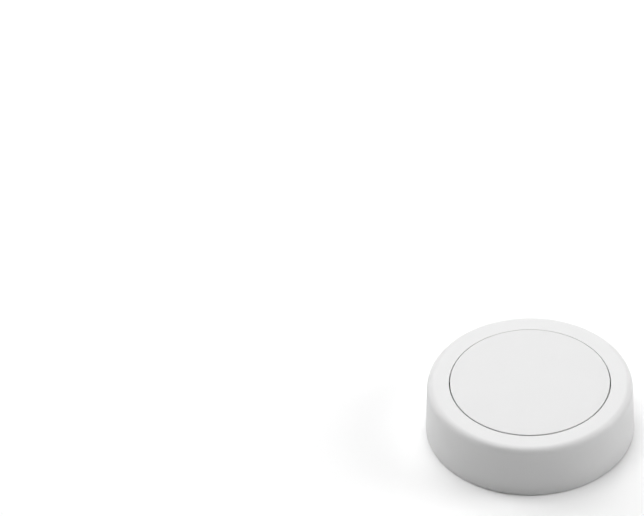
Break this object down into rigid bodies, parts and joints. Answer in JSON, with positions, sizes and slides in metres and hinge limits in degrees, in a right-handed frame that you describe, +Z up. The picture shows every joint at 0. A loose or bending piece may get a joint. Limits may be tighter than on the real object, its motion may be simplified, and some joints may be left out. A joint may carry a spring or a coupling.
{
  "type": "smart button",
  "caption": "Small round battery-powered push button: the flush top plate is the key, a bayonet cover closes the cell bay and a foam pad sticks it down.",
  "frame": {"origin": "centre of the underside of the adhesive pad, where the button rests", "axes": "+Z up, out of the top plate; -Y towards the front seen in the picture"},
  "size_m": [0.03, 0.03, 0.0086],
  "materials": {
    "white_plastic": "fine matt moulded ABS",
    "white_cap": "fine matt moulded ABS",
    "cover_plastic": "matt moulded ABS",
    "frame_plastic": "plain moulded ABS",
    "gasket_silicone": "translucent grey silicone",
    "seal_rubber": "black nitrile rubber",
    "pad_foam": "closed-cell foam with an adhesive face",
    "board_laminate": "green solder mask",
    "switch_resin": "black moulded resin",
    "plunger_resin": "ivory moulded resin",
    "switch_steel": "stamped stainless steel",
    "terminal_tin": "tinned copper",
    "chip_epoxy": "black epoxy",
    "crystal_metal": "nickel-plated lid",
    "antenna_ceramic": "glazed ceramic",
    "light_resin": "clear resin on a white base",
    "resistor_black": "glazed black",
    "capacitor_tan": "fired ceramic",
    "contact_steel": "nickel-plated spring steel",
    "cell_steel": "nickel-plated steel",
    "crown_steel": "satin nickel-plated steel",
    "cell_grommet": "black polypropylene"
  },
  "bodies": {
    "housing": {"outer_shell": "white_plastic", "cap_gasket": "gasket_silicone", "inner_frame": "frame_plastic", "circuit_board": "board_laminate", "switch_base": "switch_resin", "switch_terminals": "terminal_tin", "switch_dome": "switch_steel", "switch_plate": "switch_steel", "radio_chip": "chip_epoxy", "timing_crystals": "crystal_metal", "chip_antenna": "antenna_ceramic", "status_light": "light_resin", "board_resistors": "resistor_black", "board_capacitors": "capacitor_tan", "negative_contact": "contact_steel", "positive_contacts": "contact_steel", "cell_can": "cell_steel", "cell_crown": "crown_steel", "cell_seal": "cell_grommet"},
    "button": {"button_cap": "white_cap"},
    "plunger": {"switch_plunger": "plunger_resin"},
    "cover": {"battery_cover": "cover_plastic", "cover_seal": "seal_rubber", "adhesive_pad": "pad_foam"}
  },
  "joints": [
    {"name": "button_press", "type": "slide", "parent": "housing", "child": "button", "axis": [0, 0, 1], "range_m": [-0.0002, 0], "stiffness_N_per_m": 4000, "springref_m": 0.0001, "deforming": ["switch_dome", "cap_gasket"]},
    {"name": "plunger_travel", "type": "slide", "parent": "housing", "child": "plunger", "axis": [0, 0, 1], "range_m": [-0.0002, 0]},
    {"name": "cover_turn", "type": "hinge", "parent": "housing", "child": "cover", "pos_m": [0, 0, 0], "axis": [0, 0, -1], "range_deg": [0, 32]}
  ],
  "couplings": [
    {"joint": "plunger_travel", "follows": "button_press", "ratio": 1}
  ]
}
